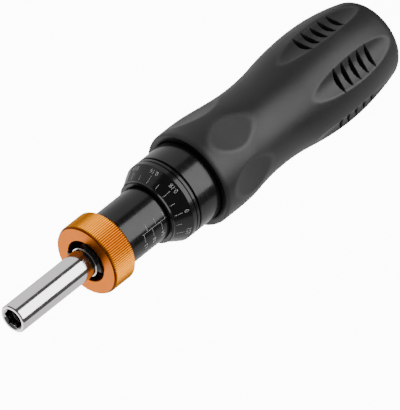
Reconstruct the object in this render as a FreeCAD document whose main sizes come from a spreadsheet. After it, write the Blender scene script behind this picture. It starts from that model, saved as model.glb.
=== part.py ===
import FreeCAD, Part

import math
import os
import re

import Sketcher

# Adjustable torque screwdriver, standing on the flat end of its handle.
# The tool's axis is +Z, the handle's end lies at Z = 0 and the bit tube points up.
# Angles are about +Z from +X, which runs through the middle of one of the handle's front dents.
# The setting is at its lowest, so the barrel stands as far out of the handle as it goes.

DRIVING_SIZES = [
    # Handle grip: outline, front dents, rear recesses and their slots.
    ("handle_length", 89.8),
    ("mouth_radius", 17.1),
    ("mouth_round", 3.8),
    ("mouth_round_length", 1.9),
    ("mouth_bevel", 0.4),
    ("mouth_land", 8.4),
    ("waist_radius", 15.05),
    ("waist_to_mouth", 33.3),
    ("waist_front_curve", 84),
    ("waist_rear_curve", 78),
    ("belly_radius", 17.56),
    ("belly_height", 26.4),
    ("tail_curve", 80),
    ("end_round", 6),
    ("dent_floor_radius", 15.48),
    ("dent_to_mouth", 20.3),
    ("dent_curve", 78),
    ("dent_cut_width", 24),
    ("recess_rear_radius", 14.58),
    ("recess_front_radius", 16.47),
    ("recess_reach", 48.4),
    ("recess_curve", 8.8),
    ("slot_height", 15.8),
    ("slot_pitch", 3.9),
    ("slot_half_width", 1.05),
    ("slot_reach", 4.3),
    ("slot_centre_radius", 17.2),
    # Core of the handle, with the sleeve that shows in front of the grip.
    ("sleeve_radius", 14.4),
    ("sleeve_reach", 9.6),
    ("sleeve_seat", 10),
    ("sleeve_bevel", 0.25),
    ("core_radius", 12.5),
    ("core_foot_height", 28),
    ("core_bore", 11.2),
    ("guide_bore", 10.3),
    ("spigot_radius", 12),
    ("spigot_length", 5),
    ("plug_length", 8),
    ("pilot_radius", 2.95),
    ("pilot_length", 10),
    # Graduated dial.
    ("dial_length", 10.2),
    ("dial_face_radius", 11),
    ("dial_lip_radius", 11.43),
    ("dial_lip_length", 1),
    ("dial_cone_length", 5.6),
    ("dial_relief_radius", 13.8),
    ("dial_relief_length", 0.6),
    ("rim_groove_height", 2),
    ("rim_groove_width", 0.35),
    ("rim_groove_depth", 0.3),
    ("seal_wire", 0.5),
    ("seal_depth", 2.6),
    ("dial_screw_radius", 1),
    ("dial_screw_length", 2.6),
    ("dial_screw_height", 1.4),
    ("dial_screw_depth", 0.3),
    # Setting nut, its dowels and the barrel's travel stop.
    ("nut_length", 12),
    ("nut_front_height", 74),
    ("nut_pin_radius", 1),
    ("nut_pin_length", 2.1),
    ("stop_radius", 10.9),
    ("stop_thickness", 1),
    ("stop_gap", 0.3),
    ("stop_groove_radius", 9),
    # Thrust bearing and spring guide.
    ("race_bore", 3.05),
    ("race_radius", 7),
    ("race_thickness", 1.5),
    ("race_gap", 1.5),
    ("bearing_pitch_radius", 5.05),
    ("bearing_ball_radius", 1.19),
    ("cage_bore", 3.3),
    ("cage_radius", 6.8),
    ("cage_thickness", 0.6),
    ("guide_foot_thickness", 2.5),
    ("guide_stem_radius", 4.4),
    ("guide_head_radius", 6.9),
    ("guide_head_thickness", 3),
    ("guide_head_height", 74),
    ("guide_spigot_length", 3),
    ("spring_bore", 5.2),
    ("spring_radius", 6.8),
    ("spring_wire", 1.6),
    ("spring_pitch", 5),
    # Barrel, with the scale in front and the setting thread at its rear.
    ("barrel_radius", 9.83),
    ("scale_length", 18.5),
    ("barrel_tail_height", 58),
    ("barrel_bore", 7.9),
    ("setting_thread_radius", 9.6),
    ("setting_thread_length", 30),
    ("wedge_bore", 7.6),
    ("wedge_length", 4),
    ("wedge_land", 2),
    ("tail_slit_width", 1.2),
    ("tail_slit_length", 24),
    # Nose, bush and thrust washer.
    ("nose_plug_radius", 8.6),
    ("nose_plug_length", 7),
    ("nose_seat_depth", 1.4),
    ("nose_collar_length", 0.8),
    ("nose_thread_radius", 9.3),
    ("claw_radius", 7.35),
    ("claw_proud", 0.8),
    ("claw_clearance", 0.1),
    ("claw_gap_angle", 87),
    ("bush_radius", 6.2),
    ("bush_length", 12),
    ("washer_radius", 7),
    ("washer_thickness", 1),
    # Lock ring and lock tube.
    ("lock_ring_length", 10.3),
    ("lock_ring_radius", 12.57),
    ("lock_ring_face_radius", 12.06),
    ("lock_ring_bevel_length", 1),
    ("lock_ring_round", 1),
    ("lock_ring_wall", 3.3),
    ("lock_ring_opening", 7.45),
    ("lock_ring_skirt_length", 2.7),
    ("knurl_depth", 0.32),
    ("knurl_count", 104),
    ("lock_travel_room", 0.4),
    ("lock_tube_radius", 7.8),
    ("lock_tube_bore", 7.2),
    ("lug_gap_angle", 2),
    # Bit holder with its flange and rear journal, and the clutch.
    ("shaft_radius", 5.3),
    ("tube_radius", 5),
    ("tube_exposed", 34.1),
    ("tube_bevel", 0.4),
    ("flange_radius", 7),
    ("flange_thickness", 3),
    ("journal_radius", 3),
    ("journal_length", 10),
    ("hex_flats", 6.4),
    ("hex_depth", 13),
    ("countersink_radius", 3.95),
    ("clip_groove_radius", 4.1),
    ("clip_groove_depth", 3.2),
    ("clip_wire", 0.35),
    ("magnet_radius", 2.5),
    ("magnet_length", 3),
    ("detent_count", 12),
    ("detent_depth", 0.55),
    ("clutch_ball_radius", 1.2),
    ("clutch_ball_count", 6),
    ("clutch_pitch_radius", 5.2),
    ("plate_gap", 1.2),
    ("plate_radius", 7.1),
    ("plate_thickness", 5),
    ("plate_key_radius", 7.75),
    ("plate_key_width", 3),
    ("journal_clip_radius", 4.8),
    ("journal_clip_thickness", 0.7),
    ("journal_groove_radius", 2.5),
    ("journal_groove_height", 1.2),
    # Fits.
    ("running_fit", 0.05),
    ("sliding_fit", 0.1),
    ("seat_gap", 0.02),
]

DENT_COUNT = 6
RECESS_TURN = 30
SLOTS_PER_RECESS = 5
CLAW_ANGLE = -22
HEX_CORNER_ANGLE = -7.5
BEARING_BALLS = 8
DIAL_SCREW_ANGLES = [120, 210]
NUT_PIN_ANGLES = [0, 180]
TAIL_SLIT_ANGLES = [45, 135]
PLATE_KEY_TURN = 0

# Heights along the axis, as sums of driving sizes.
SHOULDER = "handle_length - mouth_round_length - mouth_land"
WAIST = "handle_length - waist_to_mouth"
DENT_MIDDLE = "handle_length - dent_to_mouth"
DIAL_BASE = "handle_length + sleeve_reach"
DIAL_FACE = f"{DIAL_BASE} + dial_length"
RING_REAR = f"{DIAL_FACE} + scale_length"
RING_FACE = f"{RING_REAR} + lock_ring_length"
NOSE_FACE = f"{RING_FACE} + claw_proud"
TIP = f"{NOSE_FACE} + tube_exposed"
RING_STEP = f"{RING_FACE} - lock_ring_wall"
NOSE_SHOULDER = f"{RING_STEP} - lock_travel_room"
BARREL_FRONT = f"{RING_REAR} + nose_seat_depth"
NOSE_REAR = f"{BARREL_FRONT} - nose_plug_length"
FLANGE_FRONT = f"{NOSE_REAR} - washer_thickness"
FLANGE_REAR = f"{FLANGE_FRONT} - flange_thickness"
PLATE_FRONT = f"{FLANGE_REAR} - plate_gap"
PLATE_REAR = f"{PLATE_FRONT} - plate_thickness"
CLUTCH_BALL_HEIGHT = f"{FLANGE_REAR} - clutch_ball_radius + detent_depth"
NUT_REAR = "nut_front_height - nut_length"
SLEEVE_REAR = "handle_length - sleeve_seat"
PLUG_TOP = "core_foot_height + plug_length"
BEARING_MIDDLE = f"{PLUG_TOP} + race_thickness + race_gap / 2"
GUIDE_FOOT = f"{PLUG_TOP} + race_thickness + race_gap + race_thickness"

doc = FreeCAD.newDocument("TorqueScrewdriver")
sheet = doc.addObject("Spreadsheet::Sheet", "Sizes")
for row, (alias, number) in enumerate(DRIVING_SIZES, start=1):
    sheet.set(f"A{row}", alias)
    sheet.set(f"B{row}", str(number))
    sheet.setAlias(f"B{row}", alias)
doc.recompute()

ALIASES = {alias for alias, number in DRIVING_SIZES}
pieces = []


def bound(text):
    """The expression for a sum of sizes, with each alias read from the sheet."""
    return re.sub(r"[a-z_]+", lambda word: f"Sizes.{word[0]}" if word[0] in ALIASES else word[0], text)


def value(text):
    """The present number of a sum of sizes, such as 'a + b - c / 2'."""
    total, sign, term = 0.0, 1, 0.0
    words = text.split()
    for place, word in enumerate(words):
        if word in ("+", "-"):
            total += sign * term
            sign = 1 if word == "+" else -1
        elif place and words[place - 1] == "/":
            term /= float(word)
        elif word != "/":
            term = float(sheet.get(word)) if word in ALIASES else float(word)
    return total + sign * term


def piece(item, label):
    """Give a finished sub-part the name of its node."""
    item.Label = label
    pieces.append(item)
    return item


def plane_of(body, role):
    return [feature for feature in body.Origin.OriginFeatures if feature.Role == role][0]


def new_sketch(body, name, role, turn=0):
    """A sketch on one of the body's planes. An XZ sketch may be turned about the axis."""
    sketch = body.newObject("Sketcher::SketchObject", name)
    sketch.AttachmentSupport = [(plane_of(body, role), "")]
    sketch.MapMode = "FlatFace"
    axis = FreeCAD.Vector(0, 1, 0) if role == "XZ_Plane" else FreeCAD.Vector(0, 0, 1)
    sketch.AttachmentOffset = FreeCAD.Placement(FreeCAD.Vector(), FreeCAD.Rotation(axis, turn))
    return sketch


def fix_point(sketch, curve, end, across, along):
    """Hold one end of a curve at a place given by two sums of sizes."""
    fix_distance(sketch, "DistanceX", curve, end, across)
    fix_distance(sketch, "DistanceY", curve, end, along)


def fix_distance(sketch, kind, curve, end, text):
    """Hold one end or the centre of a curve at a distance from the sketch's origin."""
    rule = Sketcher.Constraint(kind, -1, 1, curve, end, value(text))
    sketch.setExpression(f"Constraints[{sketch.addConstraint(rule)}]", bound(text))


def fix_radius(sketch, curve, text):
    rule = Sketcher.Constraint("Radius", curve, value(text))
    sketch.setExpression(f"Constraints[{sketch.addConstraint(rule)}]", bound(text))


def draw_outline(sketch, corners):
    """A closed outline of straight lines through corners (radius, height)."""
    points = [FreeCAD.Vector(value(across), value(along), 0) for across, along in corners]
    first = sketch.GeometryCount
    for place, point in enumerate(points):
        line = Part.LineSegment(point, points[(place + 1) % len(points)])
        sketch.addGeometry(line, False)
    for place, (across, along) in enumerate(corners):
        after = first + (place + 1) % len(points)
        sketch.addConstraint(Sketcher.Constraint("Coincident", first + place, 2, after, 1))
        fix_point(sketch, first + place, 1, across, along)


def turned(name, corners):
    """A body turned about the tool's axis from an outline of corners (radius, height)."""
    body = doc.addObject("PartDesign::Body", name)
    sketch = new_sketch(body, f"{name}Outline", "XZ_Plane")
    draw_outline(sketch, corners)
    turning = body.newObject("PartDesign::Revolution", f"{name}Turning")
    turning.Profile = sketch
    turning.ReferenceAxis = (sketch, ["V_Axis"])
    turning.Angle = 360
    return body


def primitive(kind, name, sizes, height="0", radius="0", turn=0, tip=0):
    """A Part primitive at a height and radius, tipped about Y and then turned about the axis."""
    item = doc.addObject(kind, name)
    for key, text in sizes.items():
        item.setExpression(key, bound(text))
    about_axis = FreeCAD.Rotation(FreeCAD.Vector(0, 0, 1), turn)
    about_y = FreeCAD.Rotation(FreeCAD.Vector(0, 1, 0), tip)
    item.Placement = FreeCAD.Placement(FreeCAD.Vector(), about_axis * about_y)
    item.setExpression("Placement.Base.x", f"({bound(radius)}) * cos({turn} deg)")
    item.setExpression("Placement.Base.y", f"({bound(radius)}) * sin({turn} deg)")
    item.setExpression("Placement.Base.z", bound(height))
    return item


def joined(name, items):
    """Several shapes as one, to be cut away or kept together."""
    union = doc.addObject("Part::MultiFuse", name)
    union.Shapes = items
    return union


def group(name, items):
    """Like pieces kept as separate solids in one node."""
    together = doc.addObject("Part::Compound", name)
    together.Links = items
    return together


def cut(name, base, tool):
    difference = doc.addObject("Part::Cut", name)
    difference.Base = base
    difference.Tool = tool
    return difference


def repeat_round(body, name, feature, count):
    """The same cut, repeated evenly round the tool's axis."""
    pattern = body.newObject("PartDesign::PolarPattern", name)
    pattern.Originals = [feature]
    pattern.Axis = (plane_of(body, "Z_Axis"), [""])
    pattern.Angle = 360
    pattern.Occurrences = count
    body.Tip = pattern


def bar(name, half_length, half_width, low, height, turn):
    """A box laid across the tool's axis, with its middle on the axis."""
    sizes = {"Length": f"2 * ({half_length})", "Width": f"2 * ({half_width})", "Height": height}
    box = primitive("Part::Box", name, sizes, low, turn=turn)
    along, across = bound(f"({half_length})"), bound(f"({half_width})")
    box.setExpression("Placement.Base.x", f"-{along} * cos({turn} deg) + {across} * sin({turn} deg)")
    box.setExpression("Placement.Base.y", f"-{along} * sin({turn} deg) - {across} * cos({turn} deg)")
    return box


def sector(name, inner, outer, low, high, middle, span):
    """A ring's sector, between two radii and two heights, centred on an angle."""
    length = f"{high} - ({low})"
    angles = {"Angle": span, "Height": length}
    start = middle - value(span) / 2
    whole = primitive("Part::Cylinder", f"{name}Whole", {"Radius": outer, **angles}, low, turn=start)
    core = primitive("Part::Cylinder", f"{name}Core", {"Radius": inner, "Height": length}, low)
    return cut(name, whole, core)


def arc_through(sketch, centre, first, last):
    """An arc from first to last, the short way round. Returns its index and its two ends."""
    start = math.atan2(first.y - centre.y, first.x - centre.x)
    stop = math.atan2(last.y - centre.y, last.x - centre.x)
    anticlockwise = math.sin(stop - start) > 0
    if not anticlockwise:
        start, stop = stop, start
    circle = Part.Circle(centre, FreeCAD.Vector(0, 0, 1), (first - centre).Length)
    index = sketch.addGeometry(Part.ArcOfCircle(circle, start, stop), False)
    return (index, 1, 2) if anticlockwise else (index, 2, 1)


def make_handle_grip():
    """Soft-touch grip: waisted outline with a blind bore for the core, dents and ribbed recesses."""
    body = doc.addObject("PartDesign::Body", "HandleGrip")
    sketch = new_sketch(body, "GripOutline", "XZ_Plane")

    def point(across, along):
        return FreeCAD.Vector(value(across), value(along), 0)

    def blend(middle, curve, other):
        """Centre and touching point of a second arc that runs out of the first one at other."""
        drop = abs(other.x - middle.x)
        reach = other.y - middle.y
        span = (reach * reach + drop * drop) / (2 * drop)
        centre = FreeCAD.Vector(middle.x + curve, middle.y, 0)
        outer = FreeCAD.Vector(other.x - (span - curve), other.y, 0)
        return outer, centre, centre + (outer - centre) * (curve / span)

    shoulder = point("mouth_radius", SHOULDER)
    waist = point("waist_radius", WAIST)
    belly = point("belly_radius", "belly_height")
    shoulder_centre, front_centre, front_touch = blend(waist, value("waist_front_curve"), shoulder)
    belly_centre, rear_centre, rear_touch = blend(waist, value("waist_rear_curve"), belly)
    tail, end = value("tail_curve"), value("end_round")
    tail_centre = FreeCAD.Vector(belly.x - tail, belly.y, 0)
    across = math.sqrt((tail - end) ** 2 - (belly.y - end) ** 2)
    end_centre = FreeCAD.Vector(tail_centre.x + across, end, 0)
    tail_touch = tail_centre + (end_centre - tail_centre) * (tail / (tail - end))
    flat_edge = FreeCAD.Vector(end_centre.x, 0, 0)
    bullnose = point("mouth_radius", "handle_length - mouth_round_length")
    round_radius, round_length = value("mouth_round"), value("mouth_round_length")
    face_inset = round_radius - math.sqrt(round_radius ** 2 - round_length ** 2)
    face_edge = FreeCAD.Vector(bullnose.x - face_inset, value("handle_length"), 0)

    flat = sketch.addGeometry(Part.LineSegment(FreeCAD.Vector(0, 0, 0), flat_edge), False)
    round_end = arc_through(sketch, end_centre, flat_edge, tail_touch)
    tail_arc = arc_through(sketch, tail_centre, tail_touch, belly)
    belly_arc = arc_through(sketch, belly_centre, belly, rear_touch)
    rear_arc = arc_through(sketch, rear_centre, rear_touch, waist)
    front_arc = arc_through(sketch, front_centre, waist, front_touch)
    shoulder_arc = arc_through(sketch, shoulder_centre, front_touch, shoulder)
    side = (sketch.addGeometry(Part.LineSegment(shoulder, bullnose), False), 1, 2)
    mouth_centre = FreeCAD.Vector(bullnose.x - round_radius, bullnose.y, 0)
    mouth_arc = arc_through(sketch, mouth_centre, bullnose, face_edge)

    inside = [
        ("sleeve_radius + seat_gap + mouth_bevel", "handle_length"),
        ("sleeve_radius + seat_gap", "handle_length - mouth_bevel"),
        ("sleeve_radius + seat_gap", SLEEVE_REAR),
        ("core_radius + seat_gap", SLEEVE_REAR),
        ("core_radius + seat_gap", "core_foot_height"),
        ("0", "core_foot_height"),
    ]
    stops = [face_edge] + [point(*corner) for corner in inside] + [FreeCAD.Vector(0, 0, 0)]
    lines = []
    for here, there in zip(stops, stops[1:]):
        lines.append(sketch.addGeometry(Part.LineSegment(here, there), False))

    smooth = [round_end, tail_arc, belly_arc, rear_arc, front_arc, shoulder_arc, side, mouth_arc]
    join = Sketcher.Constraint("Tangent", flat, 2, round_end[0], round_end[1])
    sketch.addConstraint(join)
    for before, after in zip(smooth, smooth[1:]):
        join = Sketcher.Constraint("Tangent", before[0], before[2], after[0], after[1])
        sketch.addConstraint(join)
    meetings = [(mouth_arc[0], mouth_arc[2], lines[0], 1), (lines[-1], 2, flat, 1)]
    meetings += [(before, 2, after, 1) for before, after in zip(lines, lines[1:])]
    for meeting in meetings:
        sketch.addConstraint(Sketcher.Constraint("Coincident", *meeting))
    sketch.addConstraint(Sketcher.Constraint("Horizontal", flat))
    fix_point(sketch, flat, 1, "0", "0")
    fix_point(sketch, belly_arc[0], belly_arc[1], "belly_radius", "belly_height")
    fix_point(sketch, front_arc[0], front_arc[1], "waist_radius", WAIST)
    fix_point(sketch, side[0], 1, "mouth_radius", SHOULDER)
    for text, arc, level in (
        ("end_round", round_end, None),
        ("tail_curve", tail_arc, "belly_height"),
        ("waist_rear_curve", rear_arc, WAIST),
        ("waist_front_curve", front_arc, None),
        ("mouth_round", mouth_arc, "handle_length - mouth_round_length"),
    ):
        fix_radius(sketch, arc[0], text)
        if level:
            fix_distance(sketch, "DistanceY", arc[0], 3, level)
    fix_distance(sketch, "DistanceY", lines[0], 1, "handle_length")
    for line, corner in zip(lines[1:], inside):
        fix_point(sketch, line, 1, *corner)

    turning = body.newObject("PartDesign::Revolution", "GripTurning")
    turning.Profile = sketch
    turning.ReferenceAxis = (sketch, ["V_Axis"])
    turning.Angle = 360

    dent_sketch = new_sketch(body, "DentCurve", "XZ_Plane")
    centre = point("dent_floor_radius + dent_curve", DENT_MIDDLE)
    circle = Part.Circle(centre, FreeCAD.Vector(0, 0, 1), value("dent_curve"))
    ring = dent_sketch.addGeometry(circle, False)
    fix_radius(dent_sketch, ring, "dent_curve")
    fix_point(dent_sketch, ring, 3, "dent_floor_radius + dent_curve", DENT_MIDDLE)
    dent = body.newObject("PartDesign::Pocket", "Dent")
    dent.Profile = dent_sketch
    dent.Midplane = True
    dent.setExpression("Length", bound("dent_cut_width"))
    repeat_round(body, "Dents", dent, DENT_COUNT)

    recess_sketch = new_sketch(body, "RecessOutline", "XZ_Plane", RECESS_TURN)
    draw_outline(recess_sketch, [
        ("recess_rear_radius + recess_curve", "0"),
        ("recess_rear_radius", "0"),
        ("recess_front_radius", "recess_reach"),
        ("recess_front_radius + recess_curve", "recess_reach"),
    ])
    recess = body.newObject("PartDesign::Groove", "Recess")
    recess.Profile = recess_sketch
    recess.ReferenceAxis = (recess_sketch, ["Edge4"])
    recess.Angle = 360
    repeat_round(body, "Recesses", recess, DENT_COUNT)

    slot_sketch = new_sketch(body, "SlotOutlines", "XZ_Plane", RECESS_TURN)
    backs = []
    for place in range(SLOTS_PER_RECESS):
        middle = "slot_height" + " + slot_pitch" * place
        corners = [
            ("slot_centre_radius", f"{middle} - slot_half_width"),
            ("slot_centre_radius", f"{middle} + slot_half_width"),
            ("slot_centre_radius - slot_reach", middle),
        ]
        low, high, edge = (point(*corner) for corner in corners)
        reach, half_width = value("slot_reach"), value("slot_half_width")
        to_centre = FreeCAD.Vector(0, (reach ** 2 / half_width - half_width) / 2, 0)
        axis_point = point("slot_centre_radius", middle)
        back = slot_sketch.addGeometry(Part.LineSegment(low, high), False)
        upper = arc_through(slot_sketch, axis_point - to_centre, high, edge)
        lower = arc_through(slot_sketch, axis_point + to_centre, edge, low)
        for meeting in ((back, 2, upper[0], upper[1]), (upper[0], upper[2], lower[0], lower[1]),
                        (lower[0], lower[2], back, 1)):
            slot_sketch.addConstraint(Sketcher.Constraint("Coincident", *meeting))
        fix_point(slot_sketch, back, 1, *corners[0])
        fix_point(slot_sketch, back, 2, *corners[1])
        fix_point(slot_sketch, lower[0], lower[1], *corners[2])
        for arc in (upper, lower):
            fix_distance(slot_sketch, "DistanceX", arc[0], 3, "slot_centre_radius")
        backs.append(back)
    slots = body.newObject("PartDesign::Groove", "Slots")
    slots.Profile = slot_sketch
    slots.ReferenceAxis = (slot_sketch, [f"Edge{backs[0] + 1}"])
    slots.Angle = 360
    repeat_round(body, "SlotsRound", slots, DENT_COUNT)
    return piece(body, "handle_grip")


def make_handle_core():
    """Aluminium core in the grip. Its front end is the sleeve that shows, with the dial's spigot."""
    body = turned("HandleCore", [
        ("core_bore", "core_foot_height"),
        ("core_radius", "core_foot_height"),
        ("core_radius", SLEEVE_REAR),
        ("sleeve_radius", SLEEVE_REAR),
        ("sleeve_radius", f"{DIAL_BASE} - sleeve_bevel"),
        ("sleeve_radius - sleeve_bevel", DIAL_BASE),
        ("spigot_radius", DIAL_BASE),
        ("spigot_radius", f"{DIAL_BASE} + spigot_length"),
        ("guide_bore", f"{DIAL_BASE} + spigot_length"),
        ("guide_bore", "nut_front_height"),
        ("core_bore", "nut_front_height"),
    ])
    holes = nut_pin_shapes("CorePinHole", "seat_gap") + dial_screw_shapes("CoreScrewHole", "seat_gap")
    return piece(cut("HandleCoreDrilled", body, joined("CoreHoles", holes)), "handle_core")


def nut_pin_shapes(name, gap="0"):
    """Radial dowels through the core into the setting nut, or their holes with a gap all round."""
    sizes = {"Radius": f"nut_pin_radius + {gap}", "Height": f"nut_pin_length + {gap}"}
    return [
        primitive("Part::Cylinder", f"{name}{place}", sizes, f"nut_front_height - nut_length / 2",
                  "core_radius - nut_pin_length", turn, tip=90)
        for place, turn in enumerate(NUT_PIN_ANGLES)
    ]


def dial_screw_shapes(name, gap="0", sunk="0"):
    """Radial grub screws through the dial's rim into the spigot, or their holes with a gap all round."""
    length = f"dial_screw_length + {sunk}"
    sizes = {"Radius": f"dial_screw_radius + {gap}", "Height": length}
    return [
        primitive("Part::Cylinder", f"{name}{place}", sizes, f"{DIAL_BASE} + dial_screw_height",
                  "sleeve_radius - dial_screw_depth - dial_screw_length", turn, tip=90)
        for place, turn in enumerate(DIAL_SCREW_ANGLES)
    ]


def make_core_plug():
    """Plug screwed in the core's rear end. Its pilot centres the thrust bearing."""
    return piece(turned("CorePlug", [
        ("0", "core_foot_height"),
        ("core_bore - seat_gap", "core_foot_height"),
        ("core_bore - seat_gap", PLUG_TOP),
        ("pilot_radius", PLUG_TOP),
        ("pilot_radius", f"{PLUG_TOP} + pilot_length"),
        ("0", f"{PLUG_TOP} + pilot_length"),
    ]), "core_plug")


def make_graduated_dial():
    """Bevelled ring for the graduations, with a rim, a fine groove and the seal's groove."""
    rim_top = f"{DIAL_FACE} - dial_lip_length - dial_cone_length"
    groove_low = f"{DIAL_BASE} + rim_groove_height - rim_groove_width"
    seal_low = f"{DIAL_FACE} - seal_depth - seal_wire - seat_gap"
    seal_high = f"{DIAL_FACE} - seal_depth + seal_wire + seat_gap"
    seal_floor = "barrel_radius + running_fit + seal_wire + seal_wire + seat_gap"
    body = turned("GraduatedDial", [
        ("spigot_radius + seat_gap", DIAL_BASE),
        ("dial_relief_radius", DIAL_BASE),
        ("dial_relief_radius", f"{DIAL_BASE} + dial_relief_length"),
        ("sleeve_radius", f"{DIAL_BASE} + dial_relief_length"),
        ("sleeve_radius", groove_low),
        ("sleeve_radius - rim_groove_depth", groove_low),
        ("sleeve_radius - rim_groove_depth", f"{DIAL_BASE} + rim_groove_height"),
        ("sleeve_radius", f"{DIAL_BASE} + rim_groove_height"),
        ("sleeve_radius", rim_top),
        ("dial_lip_radius", f"{DIAL_FACE} - dial_lip_length"),
        ("dial_lip_radius", f"{DIAL_FACE} - dial_lip_radius + dial_face_radius"),
        ("dial_face_radius", DIAL_FACE),
        ("barrel_radius + sliding_fit", DIAL_FACE),
        ("barrel_radius + sliding_fit", seal_high),
        (seal_floor, seal_high),
        (seal_floor, seal_low),
        ("barrel_radius + sliding_fit", seal_low),
        ("barrel_radius + sliding_fit", f"{DIAL_BASE} + spigot_length + seat_gap"),
        ("spigot_radius + seat_gap", f"{DIAL_BASE} + spigot_length + seat_gap"),
    ])
    holes = joined("DialScrewHoles", dial_screw_shapes("DialScrewHole", "seat_gap", "sleeve_radius"))
    piece(cut("GraduatedDialDrilled", body, holes), "graduated_dial")
    seal_radius = "barrel_radius + running_fit + seal_wire"
    sizes = {"Radius1": seal_radius, "Radius2": "seal_wire"}
    piece(primitive("Part::Torus", "DialSeal", sizes, f"{DIAL_FACE} - seal_depth"), "dial_seal")
    piece(group("DialScrews", dial_screw_shapes("DialScrew")), "dial_screws")


def make_setting_nut():
    """Nut pressed in the core. The barrel's setting thread runs in it."""
    body = turned("SettingNut", [
        ("setting_thread_radius + running_fit", NUT_REAR),
        ("core_bore - seat_gap", NUT_REAR),
        ("core_bore - seat_gap", "nut_front_height"),
        ("setting_thread_radius + running_fit", "nut_front_height"),
    ])
    holes = joined("NutPinHoles", nut_pin_shapes("NutPinHole", "seat_gap"))
    piece(cut("SettingNutDrilled", body, holes), "setting_nut")
    piece(group("NutPins", nut_pin_shapes("NutPin")), "nut_pins")


def make_thrust_bearing():
    """Two grooved races, a cage and balls, so the spring doesn't twist as the handle is turned."""
    track = {"Radius1": "bearing_pitch_radius", "Radius2": "bearing_ball_radius + running_fit / 2"}
    races = (("BearingLowerRace", PLUG_TOP, "bearing_lower_race"),
             ("BearingUpperRace", f"{PLUG_TOP} + race_thickness + race_gap", "bearing_upper_race"))
    for name, low, label in races:
        blank = turned(name, [
            ("race_bore", low),
            ("race_radius", low),
            ("race_radius", f"{low} + race_thickness"),
            ("race_bore", f"{low} + race_thickness"),
        ])
        groove_tool = primitive("Part::Torus", f"{name}Track", track, BEARING_MIDDLE)
        piece(cut(f"{name}Grooved", blank, groove_tool), label)
    ball = {"Radius": "bearing_ball_radius"}
    pocket = {"Radius": "bearing_ball_radius + running_fit"}
    turns = [360 * place / BEARING_BALLS for place in range(BEARING_BALLS)]
    balls, pockets = (
        [primitive("Part::Sphere", f"{name}{place}", sizes, BEARING_MIDDLE, "bearing_pitch_radius", turn)
         for place, turn in enumerate(turns)]
        for name, sizes in (("BearingBall", ball), ("CagePocket", pocket))
    )
    piece(group("BearingBalls", balls), "bearing_balls")
    cage = turned("BearingCage", [
        ("cage_bore", f"{BEARING_MIDDLE} - cage_thickness / 2"),
        ("cage_radius", f"{BEARING_MIDDLE} - cage_thickness / 2"),
        ("cage_radius", f"{BEARING_MIDDLE} + cage_thickness / 2"),
        ("cage_bore", f"{BEARING_MIDDLE} + cage_thickness / 2"),
    ])
    piece(cut("BearingCagePocketed", cage, joined("CagePockets", pockets)), "bearing_cage")


def make_spring_guide():
    """Spool on the bearing. Its head seats the main spring, and its foot turns on the pilot."""
    pilot_bore = "pilot_radius + running_fit"
    pilot_end = f"{PLUG_TOP} + pilot_length + sliding_fit"
    return piece(turned("SpringGuide", [
        (pilot_bore, GUIDE_FOOT),
        ("race_radius", GUIDE_FOOT),
        ("race_radius", f"{GUIDE_FOOT} + guide_foot_thickness"),
        ("guide_stem_radius", f"{GUIDE_FOOT} + guide_foot_thickness"),
        ("guide_stem_radius", "guide_head_height - guide_head_thickness"),
        ("guide_head_radius", "guide_head_height - guide_head_thickness"),
        ("guide_head_radius", "guide_head_height"),
        ("spring_bore - sliding_fit", "guide_head_height"),
        ("spring_bore - sliding_fit", "guide_head_height + guide_spigot_length"),
        ("0", "guide_head_height + guide_spigot_length"),
        ("0", pilot_end),
        (pilot_bore, pilot_end),
    ]), "spring_guide")


def make_main_spring():
    """Compression spring of square wire, with its ends ground flat."""
    body = doc.addObject("PartDesign::Body", "SpringCoil")
    sketch = new_sketch(body, "SpringWire", "XZ_Plane")
    start = "guide_head_height - spring_pitch"
    draw_outline(sketch, [
        ("spring_bore", start),
        ("spring_radius", start),
        ("spring_radius", f"{start} + spring_wire"),
        ("spring_bore", f"{start} + spring_wire"),
    ])
    coil = body.newObject("PartDesign::AdditiveHelix", "SpringHelix")
    coil.Profile = sketch
    coil.ReferenceAxis = (sketch, ["V_Axis"])
    coil.Mode = "pitch-height-angle"
    coil.setExpression("Pitch", bound("spring_pitch"))
    coil.setExpression("Height", bound(f"{PLATE_REAR} - guide_head_height + spring_pitch"))
    body.Tip = coil
    ground = turned("SpringEnds", [
        ("0", "guide_head_height"),
        ("barrel_bore", "guide_head_height"),
        ("barrel_bore", PLATE_REAR),
        ("0", PLATE_REAR),
    ])
    spring = doc.addObject("Part::MultiCommon", "MainSpring")
    spring.Shapes = [body, ground]
    return piece(spring, "main_spring")


def make_barrel_tube():
    """Black anodised tube: scale in front, setting thread behind, slit tail for the lock's wedge."""
    tail = "barrel_tail_height"
    stop_top = f"{NUT_REAR} - stop_gap"
    thread_top = f"{tail} + setting_thread_length"
    body = turned("BarrelTube", [
        ("wedge_bore", tail),
        ("setting_thread_radius", tail),
        ("setting_thread_radius", f"{stop_top} - stop_thickness"),
        ("stop_groove_radius", f"{stop_top} - stop_thickness"),
        ("stop_groove_radius", stop_top),
        ("setting_thread_radius", stop_top),
        ("setting_thread_radius", thread_top),
        ("barrel_radius", thread_top),
        ("barrel_radius", BARREL_FRONT),
        ("nose_plug_radius + seat_gap", BARREL_FRONT),
        ("nose_plug_radius + seat_gap", NOSE_REAR),
        ("barrel_bore", NOSE_REAR),
        ("barrel_bore", f"{tail} + wedge_land + wedge_length"),
        ("wedge_bore", f"{tail} + wedge_land"),
    ])
    slits = [
        bar(f"TailSlit{place}", "barrel_radius", "tail_slit_width / 2", tail, "tail_slit_length", turn)
        for place, turn in enumerate(TAIL_SLIT_ANGLES)
    ]
    piece(cut("BarrelTubeSlit", body, joined("TailSlits", slits)), "barrel_tube")
    piece(turned("TravelStop", [
        ("stop_groove_radius + seat_gap", f"{stop_top} - stop_thickness"),
        ("stop_radius", f"{stop_top} - stop_thickness"),
        ("stop_radius", stop_top),
        ("stop_groove_radius + seat_gap", stop_top),
    ]), "travel_stop")


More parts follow.
